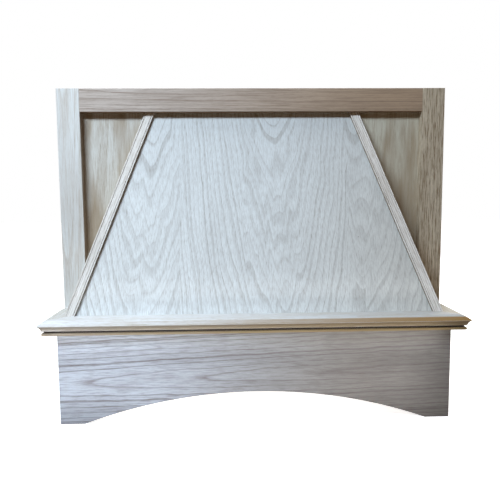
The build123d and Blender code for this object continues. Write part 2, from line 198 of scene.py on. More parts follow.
class Finish:
    """A material, or a world, under construction."""

    def __init__(self, name, kind="materials"):
        self.data = getattr(bpy.data, kind).new(name)
        self.data.use_nodes = True
        self.tree = self.data.node_tree
        self.tree.nodes.clear()

    def node(self, kind, inputs=None, output=0, **settings):
        """Adds a node and returns one of its outputs."""
        pairs = (inputs or {}).items()
        inputs = {key: value.socket if isinstance(value, Value) else value for key, value in pairs}
        node = add_node(self.tree, kind, inputs, settings)
        return Value(self, node.outputs[output]) if node.outputs else node

    def board_place(self, place, along, out):
        """Object coordinates turned so that X runs along the grain, Y across it and Z out of the face."""
        across = out.cross(along)
        turn = Matrix((along, across, out)).transposed().to_euler("XYZ")
        place_in = self.node("ShaderNodeTexCoord", output="Object")
        inputs = {"Vector": place_in, "Location": place, "Rotation": turn}
        return self.node("ShaderNodeMapping", inputs, vector_type="TEXTURE")

    def part(self, vector, axis):
        return self.node("ShaderNodeSeparateXYZ", {0: vector}, axis)

    def noise(self, vector, sizes, seed, detail=2.0, roughness=0.5):
        """Noise whose features are about sizes metres along X, Y and Z."""
        inputs = {0: vector, 1: tuple(1 / size for size in sizes), 2: (seed * 3.7, seed * 9.1, seed * 5.3)}
        stretched = self.node("ShaderNodeVectorMath", inputs, operation="MULTIPLY_ADD")
        inputs = {"Vector": stretched, "Scale": 1.0, "Detail": detail, "Roughness": roughness}
        return self.node("ShaderNodeTexNoise", inputs)

    def ramp(self, factor, *stops):
        """A curve through (place, height) stops."""
        return self.node("ShaderNodeValToRGB", {"Fac": factor}, stops=stops)

    def fade(self, value, low, high):
        """0 below low, 1 above high, and smooth between them."""
        inputs = {"Value": value, "From Min": low, "From Max": high}
        return self.node("ShaderNodeMapRange", inputs, interpolation_type="SMOOTHSTEP")

    def tint(self, under, factor, over):
        """The colour over laid on the colour under, by factor."""
        inputs = {0: factor, 6: with_alpha(under), 7: with_alpha(over)}
        return self.node("ShaderNodeMix", inputs, 2, data_type="RGBA")

    def close(self, base, roughness, height=None, bump=0.0002, **constants):
        """Ends a material in one Principled shader."""
        inputs = {"Base Color": with_alpha(base), "Roughness": roughness}
        for key, constant in constants.items():
            inputs[key.replace("_", " ")] = constant
        if height is not None:
            inputs["Normal"] = self.node("ShaderNodeBump", {"Distance": bump, "Height": height})
        shader = self.node("ShaderNodeBsdfPrincipled", inputs)
        self.node("ShaderNodeOutputMaterial", {"Surface": shader})
        return self.data


def with_alpha(value):
    """A three-number colour as a socket wants it; links pass through."""
    return value if isinstance(value, Value) else (*value, 1)


# ---- wood


# What a board of oak has unless it says otherwise. Rings, pores, streaks and clouds are strengths, lean
# and rise slopes, sharp a power, and sizes are in metres. A leaf is (edge, centre, depth), a painted
# shade ramp (axis, low, high, strength, tone), a milled tone, which paints shade on a milled profile,
# (top, bottom, softness, low, high, strength, tone), a pin (along, across), and plies are (thickness,
# count).
OAK = {
    "rings": 0.5,
    "pores": 0.4,
    "streaks": 0.4,
    "clouds": 0.25,
    "centre": 0.0,
    "lean": 0.0,
    "depth": 0.05,
    "rise": 0.1,
    "ring": 0.007,
    "wave": 0.004,
    "wave_length": 0.12,
    "wave_width": 0.05,
    "zigzag": 0.0012,
    "zigzag_length": 0.3,
    "zigzag_width": 0.06,
    "leaves": (),
    "streak_length": 0.03,
    "streak_width": 0.0026,
    "sharp": 1.0,
    "drift": (),
    "plies": None,
    "milled": (),
    "pins": (),
}


LEAF_JOINT = 0.0004
TOOTH = 0.1  # rise of the jag noise over one side of a zigzag's tooth
BRAD_TONE = tone(70, 52, 36)


def growth_rings(finish, place, wood, seed):
    """How far a point lies through its year ring, from 0 to 1, and a random number of that year's own.

    The rings are nested round a pith line at a depth behind the face. The line rises towards the face
    along the board, so that the face shows pointed arches. Wave bends the rings sideways, and zigzag gives
    them teeth. Leaves are sheets of veneer laid side by side, each with a pith of its own.
    """
    along, across, out = (finish.part(place, axis) for axis in range(3))
    centre, depth = wood["centre"], wood["depth"]
    for edge, leaf_centre, leaf_depth in wood["leaves"]:
        beyond = finish.fade(across, edge, edge + LEAF_JOINT)
        centre = beyond * (leaf_centre - centre) + centre
        depth = beyond * (leaf_depth - depth) + depth
    wave = finish.noise(place, (wood["wave_length"], wood["wave_width"], 0.5), seed, 1.0)
    jag = finish.noise(place, (wood["zigzag_length"], wood["zigzag_width"], 0.5), seed + 1, 0.5)
    sideways = across - centre - along * wood["lean"] + (wave - 0.5) * wood["wave"]
    teeth = jag.math("PINGPONG", TOOTH) * (wood["zigzag"] / TOOTH)
    down = depth + out - along * wood["rise"] + teeth
    radius = (sideways * sideways + down * down) ** 0.5
    years = radius / wood["ring"]
    inputs = {"W": years * 0.45 + seed, "Detail": 0.0}
    years = years + finish.node("ShaderNodeTexNoise", inputs, noise_dimensions="1D") * 0.7
    inputs = {"W": years.math("FLOOR") + seed * 7}
    own = finish.node("ShaderNodeTexWhiteNoise", inputs, noise_dimensions="1D")
    return years.math("FRACT"), own


def oak_material(name, place, along, out, seed, pale, line, **changes):
    """Sanded red oak: year rings, streaky fibre, open pores and, on a sheet, the plies in its edges.

    A painted shade ramp lays its tone on as painted shade, from none at low to full strength at high, along
    one of the board's axes. A milled tone paints shade so along the grain, between two depths below the
    face. Pins are set brads.
    """
    finish = Finish(name)
    wood = {**OAK, **changes}
    board = finish.board_place(place, along, out)
    phase, own = growth_rings(finish, board, wood, seed)
    stops = ((0.0, 0.3), (0.06, 1.0), (0.2, 0.75), (0.42, 0.12), (0.9, 0.0), (1.0, 0.3))
    spring = finish.ramp(phase, *stops)
    spring = spring ** wood["sharp"] * (own * 0.5 + 0.5)

    cloud = finish.noise(board, (0.16, 0.035, 0.05), seed + 2, 2.0)
    streak_size = (wood["streak_length"], wood["streak_width"], wood["streak_width"])
    streak = finish.noise(board, streak_size, seed + 3, 3.0, 0.65)
    fibre = finish.noise(board, (0.009, 0.0007, 0.0007), seed + 4, 2.0)
    pore_noise = finish.noise(board, (0.012, 0.0016, 0.0016), seed + 5, 1.0)
    pore = finish.fade(pore_noise, 0.56, 0.68) * (spring * 0.7 + 0.3)

    base = pale
    # Painted shade: each ramp darkens the board towards an end, towards an edge, or on its sides behind the
    # face
    for axis, low, high, strength, over in wood["drift"]:
        base = finish.tint(base, finish.fade(finish.part(board, axis), low, high) * strength, over)
    base = finish.tint(base, spring * (streak + 0.4) * wood["rings"], line)
    base = finish.tint(base, finish.fade(cloud, 0.35, 0.75) * wood["clouds"], line)
    base = finish.tint(base, finish.fade(streak, 0.42, 0.68) * wood["streaks"], line)
    base = finish.tint(base, finish.fade(fibre, 0.4, 0.8) * 0.2, line)
    base = finish.tint(base, pore * wood["pores"], tuple(bpy.context.scene.hood_colours.pore))
    # Painted shade on a milled profile: each band darkens the faces between two depths below the top
    for top, bottom, edge, low, high, strength, over in wood["milled"]:
        depth = finish.part(board, 2) * -1
        band = finish.fade(depth, top, top + edge) * (1 - finish.fade(depth, bottom - edge, bottom))
        base = finish.tint(base, band * finish.fade(finish.part(board, 0), low, high) * strength, over)
    radius = bpy.context.scene.hood_sizes.brad_head
    for spot_along, spot_across in wood["pins"]:
        u = finish.part(board, 0) - spot_along
        v = finish.part(board, 1) - spot_across
        spot = 1 - finish.fade((u * u + v * v) ** 0.5, 0.6 * radius, radius)
        base = finish.tint(base, spot * 0.8, BRAD_TONE)
    height = streak * 0.3 + fibre * 0.3 - pore * 0.8 - spring * 0.2
    if wood["plies"]:
        base, height = ply_edges(finish, board, base, height, *wood["plies"], seed)
    roughness = 0.68 + fibre * 0.14 + pore * 0.1
    return finish.close(base, roughness, height, 0.00025, Specular_IOR_Level=0.3)


def ply_edges(finish, board, base, height, thickness, count, seed):
    """Crossed layers that show in the edges of a sheet, behind its face veneers."""
    depth = finish.part(board, 2) * -1
    face_veneer, glue_line = 0.0006, 0.0001
    back_veneer = thickness - face_veneer
    inside = finish.fade(depth, face_veneer, face_veneer + glue_line)
    inside = inside * (1 - finish.fade(depth, back_veneer - glue_line, back_veneer))
    layer = depth * (count / thickness)
    crossed = finish.fade((layer * 0.5).math("FRACT"), 0.49, 0.51)
    glue = 1 - finish.fade((layer.math("FRACT") - 0.5).math("ABSOLUTE"), 0.44, 0.5)
    grain = finish.noise(board, (0.004, 0.004, 0.0007), seed + 8, 2.0)
    ply = finish.tint(tone(205, 184, 150), crossed, tone(160, 130, 96))
    ply = finish.tint(ply, grain * 0.35, tone(120, 94, 66))
    ply = finish.tint(tone(96, 74, 54), glue, ply)
    return finish.tint(base, inside, ply), height * (1 - inside) + grain * inside


def timber_material(name, place, along, out, seed, **changes):
    """Planed softwood of the hidden frame: wide soft rings and no open pores."""
    finish = Finish(name)
    colours = bpy.context.scene.hood_colours
    board = finish.board_place(place, along, out)
    wood = {**OAK, "ring": 0.0045, "rise": 0.06, **changes}
    phase, _ = growth_rings(finish, board, wood, seed)
    summer = finish.ramp(phase, (0.0, 0.0), (0.55, 0.15), (0.88, 1.0), (0.95, 0.9), (1.0, 0.05))
    cloud = finish.noise(board, (0.2, 0.03, 0.05), seed + 2, 2.0)
    fibre = finish.noise(board, (0.02, 0.0006, 0.0006), seed + 3, 3.0)
    line = tuple(colours.timber_line)
    base = finish.tint(tuple(colours.timber), summer * 0.55, line)
    base = finish.tint(base, finish.fade(cloud, 0.4, 0.8) * 0.3, line)
    base = finish.tint(base, finish.fade(fibre, 0.45, 0.8) * 0.3, tone(176, 140, 96))
    roughness = 0.62 + fibre * 0.15
    return finish.close(base, roughness, fibre * 0.4 + summer * 0.25, 0.00015, Specular_IOR_Level=0.3)


def steel_material(name, seed):
    """Zinc-plated steel with faint turning marks and a dull bloom."""
    finish = Finish(name)
    place = finish.node("ShaderNodeTexCoord", output="Object")
    bloom = finish.noise(place, (0.002, 0.002, 0.002), seed, 3.0)
    marks = finish.noise(place, (0.004, 0.004, 0.0002), seed + 1, 1.0)
    plate = tuple(bpy.context.scene.hood_colours.steel)
    base = finish.tint(plate, finish.fade(bloom, 0.4, 0.8) * 0.5, tone(150, 142, 118))
    return finish.close(base, 0.28 + bloom * 0.25, marks, 0.00003, Metallic=1.0)


# ---- pieces


WELD = 1e-5
CURVE_STEP = math.radians(21)  # the most that one step of a curve turns
ARRIS_TURN = math.radians(35)  # the least that the faces at an arris turn
FLAT_TURN = math.radians(0.5)  # the most that the faces of one flat side turn


def link(name, mesh):
    piece = bpy.data.objects.new(name, mesh)
    bpy.context.scene.collection.objects.link(piece)
    return piece


def cad_shape(node):
    """The CAD node's mesh with its doubled vertices welded."""
    shape = bmesh.new()
    shape.from_mesh(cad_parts[node].data)
    bmesh.ops.remove_doubles(shape, verts=shape.verts, dist=WELD)
    return shape


def as_mesh(shape, name):
    mesh = bpy.data.meshes.new(name)
    shape.to_mesh(mesh)
    shape.free()
    return mesh


def curved(face):
    """Whether a face is one step of a curve: a neighbour of like size turns a little from it."""
    least = math.radians(0.2)
    return any(
        least < edge.calc_face_angle(0) < CURVE_STEP and other.calc_area() > 0.2 * face.calc_area()
        for edge in face.edges
        for other in edge.link_faces
        if other != face
    )


def ease(piece, width):
    """Sands the arrises of a piece, and shades its curved faces smoothly and its flat ones flat."""
    shape = bmesh.new()
    shape.from_mesh(piece.data)
    sharp = [edge for edge in shape.edges if edge.is_manifold and edge.calc_face_angle() > ARRIS_TURN]
    bmesh.ops.bevel(
        shape, geom=sharp, offset=width, segments=2, profile=0.5, affect="EDGES", clamp_overlap=True
    )
    steps = [curved(face) for face in shape.faces]
    shape.to_mesh(piece.data)
    shape.free()
    imported = piece.data.attributes.get("custom_normal")
    if imported:
        piece.data.attributes.remove(imported)
    piece.data.set_sharp_from_angle(angle=CURVE_STEP)
    piece.data.polygons.foreach_set("use_smooth", steps)


def fit(piece, slot, *nodes):
    """Lets a finished piece stand for its CAD nodes, on the cover's one body."""
    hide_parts(*nodes)
    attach(piece, BODY)


def sanded_board(node, slot, material, arris=None):
    """A board with the CAD node's shape and sanded arrises."""
    shape = cad_shape(node)
    bmesh.ops.dissolve_limit(shape, angle_limit=FLAT_TURN, verts=shape.verts, edges=shape.edges)
    mesh = as_mesh(shape, f"{node}_sanded")
    mesh.materials.append(material)
    piece = link(f"{node}_sanded", mesh)
    ease(piece, arris or bpy.context.scene.hood_sizes.arris)
    fit(piece, slot, node)


def oak_board(node, slot, name, along, out, seed, arris=None, **wood):
    """A sanded board of oak, its figure laid out from the middle of the face that looks along out."""
    material = oak_material(name, face_middle(node, out), along, out, seed, **wood)
    sanded_board(node, slot, material, arris)


def middle(node):
    low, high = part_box(node)
    return (low + high) / 2


def face_middle(node, out):
    """Point on the side of a node that looks along out, abreast of the node's middle."""
    centre = middle(node)
    reach = max(vertex.co.dot(out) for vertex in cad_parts[node].data.vertices)
    return centre + out * (reach - centre.dot(out))


def mirrored(vector):
    return Vector((-vector.x, vector.y, vector.z))


def section_face(points, origin, x_axis, y_axis):
    """A flat face with the given outline, drawn on the plane of two axes."""
    shape = bmesh.new()
    corners = [shape.verts.new(origin + x_axis * x + y_axis * y) for x, y in points]
    shape.faces.new(corners)
    return as_mesh(shape, "section")


def arc_through(start, bend, end, steps):
    """Points after start on the arc through three points, end included."""
    (ax, ay), (bx, by), (cx, cy) = start, bend, end
    d = 2 * (ax * (by - cy) + bx * (cy - ay) + cx * (ay - by))
    a2, b2, c2 = ax * ax + ay * ay, bx * bx + by * by, cx * cx + cy * cy
    ux = (a2 * (by - cy) + b2 * (cy - ay) + c2 * (ay - by)) / d
    uy = (a2 * (cx - bx) + b2 * (ax - cx) + c2 * (bx - ax)) / d
    radius = math.hypot(ax - ux, ay - uy)
    first = math.atan2(ay - uy, ax - ux)
    by_bend = (math.atan2(by - uy, bx - ux) - first) % math.tau
    sweep = (math.atan2(cy - uy, cx - ux) - first) % math.tau
    if by_bend > sweep:
        sweep -= math.tau
    turns = [first + sweep * step / steps for step in range(1, steps + 1)]
    return [(ux + radius * math.cos(turn), uy + radius * math.sin(turn)) for turn in turns]


# ---- geometry node trees


class Graph:
    """A Geometry Nodes tree under construction."""

    def __init__(self, name, inputs):
        self.tree = bpy.data.node_groups.new(name, "GeometryNodeTree")
        new_socket = self.tree.interface.new_socket
        new_socket("Geometry", in_out="OUTPUT", socket_type="NodeSocketGeometry")
        for title, kind in (("Geometry", "Geometry"), *inputs):
            new_socket(title, in_out="INPUT", socket_type=f"NodeSocket{kind}")
        self.start = self.tree.nodes.new("NodeGroupInput")

    def given(self, title):
        return self.start.outputs[title]

    def add(self, kind, inputs=None, output=0, **settings):
        return add_node(self.tree, kind, inputs, settings).outputs[output]

    def vector(self, operation, *values):
        return self.add("ShaderNodeVectorMath", dict(enumerate(values)), operation=operation)

    def number(self, operation, *values):
        """A Vector Math result that is a single number, or a Math node."""
        if operation in ("DOT_PRODUCT", "LENGTH"):
            return self.add("ShaderNodeVectorMath", dict(enumerate(values)), 1, operation=operation)
        return self.add("ShaderNodeMath", dict(enumerate(values)), operation=operation)

    def close(self, geometry):
        """Realizes, gives the material and ends the tree."""
        real = self.add("GeometryNodeRealizeInstances", {"Geometry": geometry})
        paint = {"Geometry": real, "Material": self.given("Material")}
        painted = self.add("GeometryNodeSetMaterial", paint)
        end = self.tree.nodes.new("NodeGroupOutput")
        self.tree.links.new(painted, end.inputs[0])
        return self.tree


def grow(name, mesh, tree, values):
    """Runs a tree on a mesh and returns an object that holds the result as a plain mesh."""
    piece = link(name, mesh)
    modifier = piece.modifiers.new("grow", "NODES")
    modifier.node_group = tree
    sockets = {item.name: item.identifier for item in tree.interface.items_tree if item.in_out == "INPUT"}
    for title, value in values.items():
        modifier[sockets[title]] = value
    graph = bpy.context.evaluated_depsgraph_get()
    result = bpy.data.meshes.new_from_object(piece.evaluated_get(graph))
    piece.modifiers.remove(modifier)
    piece.data = result
    return piece


def milled_length_tree():
    """Draws a section out along a run, then trims each end to a plane, as a saw would."""
    titles = ("Run", "Start point", "Start normal", "End point", "End normal")
    vectors = [(title, "Vector") for title in titles]
    graph = Graph("milled_length", [*vectors, ("Material", "Material")])
    section, run = graph.given("Geometry"), graph.given("Run")
    offset = {"Mesh": section, "Offset": run, "Individual": False}
    drawn = graph.add("GeometryNodeExtrudeMesh", offset)
    back = graph.add("GeometryNodeFlipFaces", {"Mesh": section})
    join = graph.add("GeometryNodeJoinGeometry", {0: back})
    graph.tree.links.new(drawn, join.node.inputs[0])
    weld = {"Geometry": join, "Distance": 1e-6}
    whole = graph.add("GeometryNodeMergeByDistance", weld)

    place = graph.add("GeometryNodeInputPosition")
    direction = graph.vector("NORMALIZE", run)
    from_start = graph.vector("SUBTRACT", place, graph.given("Start point"))
    travelled = graph.number("DOT_PRODUCT", from_start, direction)
    halfway = graph.number("MULTIPLY", graph.number("LENGTH", run), 0.5)
    at_end = graph.number("GREATER_THAN", travelled, halfway)

    def chosen(which):
        start, end = graph.given(f"Start {which}"), graph.given(f"End {which}")
        inputs = {"Switch": at_end, "False": start, "True": end}
        return graph.add("GeometryNodeSwitch", inputs, input_type="VECTOR")

    point, normal = chosen("point"), chosen("normal")
    gap = graph.number("DOT_PRODUCT", graph.vector("SUBTRACT", point, place), normal)
    shift = graph.number("DIVIDE", gap, graph.number("DOT_PRODUCT", direction, normal))
    moved = graph.add("ShaderNodeVectorMath", {0: direction, "Scale": shift}, operation="SCALE")
    trimmed = graph.add("GeometryNodeSetPosition", {"Geometry": whole, "Offset": moved})
    return graph.close(trimmed)


def driven_set_tree():
    """Puts a copy of one fastener on each point, turned along the point's drive direction."""
    graph = Graph("driven_set", [("Fastener", "Object"), ("Material", "Material")])
    drive = graph.add("GeometryNodeInputNamedAttribute", {"Name": "drive"}, data_type="FLOAT_VECTOR")
    turn = graph.add("FunctionNodeAlignRotationToVector", {"Vector": drive}, axis="Z")
    fastener = graph.add("GeometryNodeObjectInfo", {"Object": graph.given("Fastener")}, "Geometry")
    points = graph.add("GeometryNodeMeshToPoints", {"Mesh": graph.given("Geometry")})
    sets = {"Points": points, "Instance": fastener, "Rotation": turn}
    return graph.close(graph.add("GeometryNodeInstanceOnPoints", sets))


def tree_named(name, build):
    return bpy.data.node_groups.get(name) or build()


def mill(node, outline, start, run, axes, first, last, material, arris):
    """A moulding: the outline drawn from start along run, each end cut to a (point, normal) plane."""
    mesh = section_face(outline, start, *axes)
    if mesh.polygons[0].normal.dot(run) < 0:
        mesh.flip_normals()
    values = {"Run": run, "Start point": first[0], "Start normal": first[1]}
    values |= {"End point": last[0], "End normal": last[1], "Material": material}
    piece = grow(f"{node}_milled", mesh, tree_named("milled_length", milled_length_tree), values)
    ease(piece, arris)
    fit(piece, "oak_solid", node)


# ---- places taken from the frame


def panel_corners():
    """Foot and head of the sloped sheet's front face at its right edge."""
    right = [v.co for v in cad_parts["sloped_front_panel"].data.vertices if v.co.x > 0]
    ends = [[p for p in right if abs(p.z - end.z) < WELD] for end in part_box("sloped_front_panel")]
    return [min(places, key=lambda p: (round(p.y, 6), -p.x)).copy() for places in ends]


PANEL_FOOT, PANEL_HEAD = panel_corners()
PANEL_UP = Vector((0, PANEL_HEAD.y - PANEL_FOOT.y, PANEL_HEAD.z - PANEL_FOOT.z)).normalized()
PANEL_OUT = ALONG_X.cross(PANEL_UP)
EDGE_RUN = (PANEL_HEAD - PANEL_FOOT).normalized()
EDGE_LEVEL = Vector((EDGE_RUN.x, 0, EDGE_RUN.z)).normalized()  # its run as the front view shows it
SHEET = 0.00635  # thickness of the infill panels and the sloped sheet
SIDE_SHEET = 0.0127  # thickness of the box sides


# ---- operators


# Painted shade: dark brown on the sides of a frame board, from just behind its face, where the rail's
# underside and the left stile's inner side stand in shade
SIDE_SHADE_TONE = ((2, -0.0006, -0.0025, 0.9, tone(116, 86, 50)),)


class HOOD_OT_face_frame(bpy.types.Operator):
    """Stiles and top rail of the face frame"""

    bl_idname = "hood.face_frame"
    bl_label = "Face frame"

    def execute(self, context):
        oak_board(
            "left_stile", "oak_solid", "left_stile_oak", UP, FRONT, 11,
            pale=tone(232, 238, 240), line=tone(188, 178, 166), drift=SIDE_SHADE_TONE,
            rings=0.6, pores=0.15, streaks=0.4, streak_length=0.05,
            centre=0.012, lean=-0.01, depth=0.03, rise=0.03, ring=0.008, zigzag=0.0003,
        )
        # Painted shade: the right stile's pale and line tones are a darker, warmer copy of the left
        # stile's, for the light that falls off to the right
        oak_board(
            "right_stile", "oak_solid", "right_stile_oak", UP, FRONT, 21,
            pale=tone(216, 206, 186), line=tone(126, 106, 80),
            rings=0.6, pores=0.7, streaks=0.8, streak_length=0.03, streak_width=0.0022,
            centre=0.07, depth=0.05, rise=0.01, ring=0.006, zigzag=0.0003,
        )
        oak_board(
            "top_rail", "oak_solid", "rail_oak", ALONG_X, FRONT, 31,
            pale=tone(208, 200, 194), line=tone(132, 114, 100),
            # Painted shade: the rail darkens towards its right end, and on its sides
            drift=((0, -0.3, 0.3, 0.9, tone(177, 152, 125)), *SIDE_SHADE_TONE),
            rings=0.6, pores=0.3, streaks=0.45, sharp=1.2, streak_length=0.07, streak_width=0.002,
            centre=0.03, lean=0.01, depth=0.03, rise=0.02, ring=0.0065, wave=0.003, zigzag=0.0003,
        )
        return {"FINISHED"}


class HOOD_OT_infill_panels(bpy.types.Operator):
    """Flat sheets set back behind the face frame"""

    bl_idname = "hood.infill_panels"
    bl_label = "Infill panels"

    def execute(self, context):
        # Painted shade: the right sheet's tones are a darker, warmer copy of the left sheet's
        looks = {
            "left": (tone(228, 232, 230), tone(208, 205, 196), 41, ((-0.3316, 0.3818),)),
            "right": (tone(213, 213, 199), tone(186, 179, 162), 46, ()),
        }
        for side, (pale, bottom_shade_tone, seed, pins) in looks.items():
            node = f"{side}_infill_panel"
            place = face_middle(node, FRONT)
            oak_board(
                node, "oak_veneer_sheet", f"{side}_infill_veneer", UP, FRONT, seed,
                context.scene.hood_sizes.veneer_arris,
                # Painted shade: each sheet darkens towards its bottom
                pale=pale, line=tone(160, 142, 118), drift=((0, 0.15, -0.1, 0.9, bottom_shade_tone),),
                rings=0.4, pores=0.15, streaks=0.35, clouds=0.8, plies=(SHEET, 3),
                centre=0.06, depth=0.09, rise=0.05, ring=0.011,
                pins=[(z - place.z, place.x - x) for x, z in pins],
            )
        return {"FINISHED"}


class HOOD_OT_sloped_panel(bpy.types.Operator):
    """Sloped front sheet of the chimney with its arched figure, and the cheeks behind its edges"""

    bl_idname = "hood.sloped_panel"
    bl_label = "Sloped panel"

    def execute(self, context):
        colours, sizes = context.scene.hood_colours, context.scene.hood_sizes
        veneer = oak_material(
            "sloped_panel_veneer", Vector((0, PANEL_FOOT.y, PANEL_FOOT.z)), PANEL_UP, PANEL_OUT, 61,
            pale=tuple(colours.veneer), line=tuple(colours.veneer_line),
            # Painted shade: the sheet darkens towards its right edge and towards its head
            drift=((1, 0.02, -0.35, 0.5, tone(206, 204, 194)), (0, 0.1, 0.4, 0.55, tone(212, 221, 227))),
            rings=0.65, pores=0.3, streaks=0.4, clouds=0.15, streak_length=0.012, streak_width=0.0015,
            centre=-0.215, depth=0.12, rise=0.15, ring=0.0072, zigzag=0.006, wave=0.006,
            leaves=((-0.185, -0.041, 0.118), (0.143, 0.205, 0.11)), plies=(SHEET, 3),
            pins=((0.1446, -0.2018),),
        )
        sanded_board("sloped_front_panel", "oak_veneer_sheet", veneer, sizes.veneer_arris)
        for side, turn, seed in (("left", mirrored, 64), ("right", Vector, 67)):
            oak_board(
                f"{side}_cheek", "oak_veneer_sheet", f"{side}_cheek_veneer",
                turn(EDGE_LEVEL), turn(ALONG_Y.cross(EDGE_RUN).normalized()), seed, sizes.sheet_arris,
                pale=tone(214, 208, 196), line=tone(164, 144, 116),
                rings=0.5, streaks=0.4, depth=0.08, rise=0.08,
            )
        return {"FINISHED"}


class HOOD_OT_edge_strips(bpy.types.Operator):
    """Beaded strips over the slanted edges of the sloped sheet"""

    bl_idname = "hood.edge_strips"
    bl_label = "Edge strips"

    def section(self, sizes):
        """Outline across from the outer edge and out from the sheet."""
        bead, width, thick = sizes.strip_bead, sizes.strip_width, sizes.strip_thickness
        shoulder = thick - bead
        inner = 2 * bead + sizes.strip_quirk
        half = [(0, 0), (0, shoulder)]
        half += arc_through((0, shoulder), (bead, thick), (2 * bead, shoulder), 16)
        half += [(inner, shoulder), (inner, thick)]
        return half + [(width - x, y) for x, y in reversed(half)]

    def execute(self, context):
        sizes = context.scene.hood_sizes
        outline = self.section(sizes)
        spare = sizes.strip_width
        for side, turn, pale, seed in (
            ("left", mirrored, tone(250, 251, 250), 71),
            ("right", Vector, tone(251, 251, 249), 76),
        ):
            run = turn(EDGE_RUN)
            foot, head = turn(PANEL_FOOT), turn(PANEL_HEAD)
            inwards = PANEL_OUT.cross(run) * (-1 if side == "left" else 1)
            wood = oak_material(
                f"{side}_strip_oak", foot, run, PANEL_OUT, seed,
                # Painted shade: dark brown on the strip's sides and in its quirks, below the crowns of its
                # beads
                pale=pale, line=tone(150, 136, 118), drift=((2, 0.0052, 0.0050, 0.9, tone(96, 78, 52)),),
                rings=0.25, pores=0.2, streaks=0.35,
                centre=-0.09, depth=0.03, rise=0.004, ring=0.0042, zigzag=0.0, wave=0.0008,
            )
            mill(
                f"{side}_edge_strip", outline if side == "right" else outline[::-1],
                foot - run * spare, run * ((head - foot).length + 2 * spare), (inwards, PANEL_OUT),
                (foot, UP), (head, UP), wood, sizes.strip_arris,
            )
        return {"FINISHED"}


# Painted shade on the milled faces, each laid over those before it: from the bevel down a golden tone that
# grows along the length, partly the wood's own and partly painted shade; painted shade from the nose down,
# also growing along the length; painted shade on the bead; and deep painted shade in the quirk
MILLED_SHADE_TONES = (
    (0.002, 0.05, 0.0014, -0.35, 0.4, 0.95, tone(150, 118, 66)),
    (0.0085, 0.05, 0.003, -1.3, 0.35, 0.9, tone(158, 143, 115)),
    (0.0218, 0.05, 0.0003, -2.0, -1.0, 0.6, tone(124, 100, 58)),
    (0.0185, 0.0225, 0.0002, -2.0, -1.0, 1.0, tone(34, 20, 8)),
)


class HOOD_OT_ledge(bpy.types.Operator):
    """Three mitred lengths of the milled ledge"""

    bl_idname = "hood.ledge"
    bl_label = "Ledge moulding"

    def section(self, sizes, thickness, width):
        """Outline in from the nose and up from the underside."""
        nose = thickness - sizes.bevel_drop
        lip = nose - sizes.lip_height
        bead_top = lip - sizes.quirk_height
        radius = bead_top / 2
        quirk = sizes.lip_recess + sizes.quirk_depth
        back = sizes.lip_recess + radius
        bevel_middle = (
            (sizes.bevel_width - sizes.bevel_crown) / 2,
            thickness - sizes.bevel_drop / 2 + sizes.bevel_crown,
        )
        lip_middle = (
            sizes.lip_recess / 2 + sizes.lip_hollow,
            nose - sizes.lip_height / 2 + sizes.lip_hollow,
        )
        outline = [(sizes.bevel_width, thickness)]
        outline += arc_through((sizes.bevel_width, thickness), bevel_middle, (0, nose), 10)
        outline += arc_through((0, nose), lip_middle, (sizes.lip_recess, lip), 8)
        outline += [(quirk, lip), (quirk, bead_top), (back, bead_top)]
        outline += arc_through((back, bead_top), (back - radius, bead_top / 2), (back, 0), 18)
        return [*outline, (width, 0), (width, thickness)]

    def execute(self, context):
        sizes = context.scene.hood_sizes
        low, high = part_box("front_ledge_moulding")
        side_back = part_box("right_ledge_moulding")[1].y
        outline = self.section(sizes, high.z - low.z, high.y - low.y)
        nose = Vector((high.x, low.y, low.z))
        mitre = Vector((1, 1, 0))
        back = (Vector((0, side_back, 0)), ALONG_Y)
        right_cut = (nose, mitre)
        left_cut = (mirrored(nose), mirrored(mitre))
        side_run = ALONG_Y * (side_back - nose.y)
        # Painted shade: the right return's pale tone is a darker, warmer copy of the front and left
        # lengths' tones
        lengths = {
            "front": (ALONG_X * 2 * nose.x, ALONG_Y, left_cut, right_cut, tone(236, 244, 252)),
            "right": (side_run, -ALONG_X, right_cut, back, tone(190, 188, 178)),
            "left": (side_run, ALONG_X, left_cut, back, tone(224, 230, 232)),
        }
        for seed, (side, (run, inwards, first, last, pale)) in enumerate(lengths.items()):
            node = f"{side}_ledge_moulding"
            wood = oak_material(
                f"{side}_ledge_oak", face_middle(node, UP), run.normalized(), UP, 81 + 5 * seed,
                pale=pale, line=tone(176, 162, 138), milled=MILLED_SHADE_TONES,
                # Painted shade: the front length darkens towards its right end
                drift=((0, -0.3, 0.4, 0.85, tone(180, 186, 190)),) if side == "front" else (),
                rings=0.4, pores=0.3, streaks=0.35,
                centre=0.12, depth=0.04, rise=0.01, ring=0.006, zigzag=0.0003,
            )
            mill(node, outline, first[0], run, (inwards, UP), first, last, wood, sizes.fine_arris)
        return {"FINISHED"}


class HOOD_OT_band(bpy.types.Operator):
    """Arched valance and the band's two sides"""

    bl_idname = "hood.band"
    bl_label = "Band"

    def execute(self, context):
        oak_board(
            "arched_valance", "oak_solid", "valance_oak", ALONG_X, FRONT, 101,
            pale=tone(176, 185, 198), line=tone(98, 90, 90),
            # Painted shade: the valance darkens towards its right end
            drift=((0, -0.3, 0.22, 0.95, tone(130, 126, 120)),),
            rings=0.9, pores=0.2, streaks=0.4, sharp=1.4, streak_length=0.03, streak_width=0.002,
            centre=0.001, lean=0.03, depth=0.0118, rise=0.04, ring=0.009,
            wave=0.006, wave_length=0.05, zigzag=0.0003,
        )
        for side, out, seed in (("left", -ALONG_X, 106), ("right", ALONG_X, 111)):
            oak_board(
                f"{side}_band_side", "oak_solid", f"{side}_band_oak", ALONG_Y, out, seed,
                pale=tone(216, 212, 206), line=tone(150, 138, 128),
                centre=0.02, depth=0.03, rise=0.05, ring=0.01,
            )
        return {"FINISHED"}


